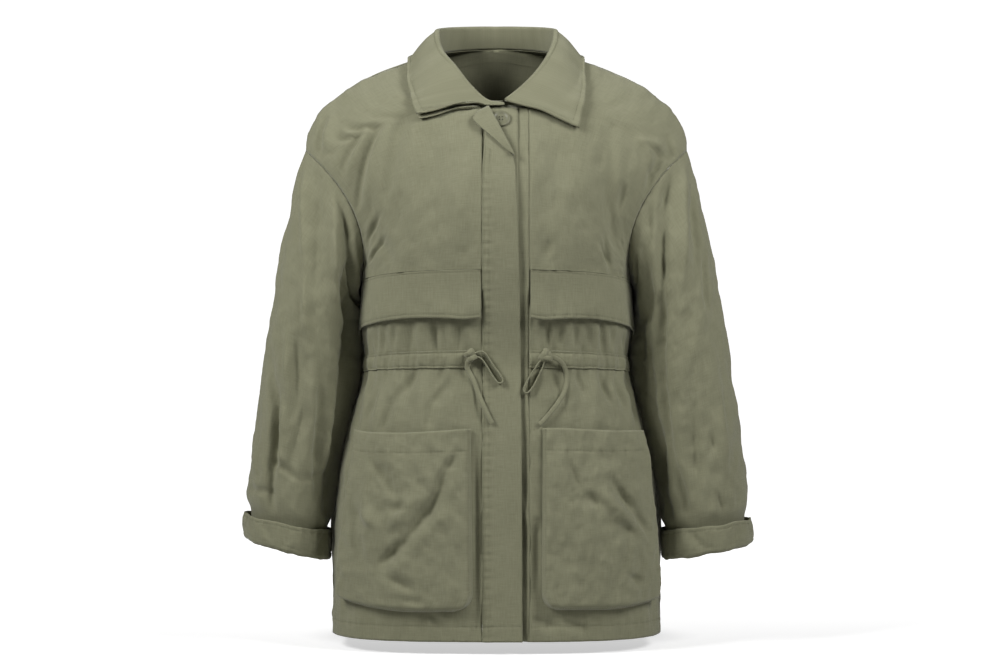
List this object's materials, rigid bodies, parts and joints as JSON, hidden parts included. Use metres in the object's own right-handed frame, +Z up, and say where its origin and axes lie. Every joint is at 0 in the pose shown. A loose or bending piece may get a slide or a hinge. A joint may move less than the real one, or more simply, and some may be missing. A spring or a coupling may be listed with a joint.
{
  "type": "utility jacket",
  "caption": "Hip-length utility jacket filled out as when worn, with turned-up cuffs, storm flaps, drawcord waist and patch pockets.",
  "frame": {"origin": "the middle of the neck, level with the inner ends of the shoulder seams", "axes": "+Z up along the wearer's height; -Y out of the jacket's front; +X towards the wearer's left sleeve"},
  "size_m": [0.659, 0.2594, 0.793],
  "materials": {
    "twill": "matt olive green cotton twill",
    "button": "satin, dyed to match the cloth"
  },
  "bodies": {
    "root": {"front_upper_right": "twill", "front_lower_right": "twill", "front_upper_left": "twill", "front_lower_left": "twill", "back": "twill", "sleeve_right_front": "twill", "sleeve_right_back": "twill", "sleeve_left_front": "twill", "sleeve_left_back": "twill", "cuff_right": "twill", "cuff_left": "twill", "storm_flap_right": "twill", "storm_flap_left": "twill", "waist_casing_right": "twill", "waist_casing_left": "twill", "waist_casing_back": "twill", "button_band": "twill", "buttonhole_band": "twill", "placket": "twill", "pocket_right": "twill", "pocket_left": "twill", "collar": "twill", "drawcord_right_tail": "twill", "drawcord_right_loop": "twill", "drawcord_left_tail": "twill", "drawcord_left_loop": "twill", "knot_right": "twill", "knot_left": "twill", "button": "button"}
  },
  "joints": []
}
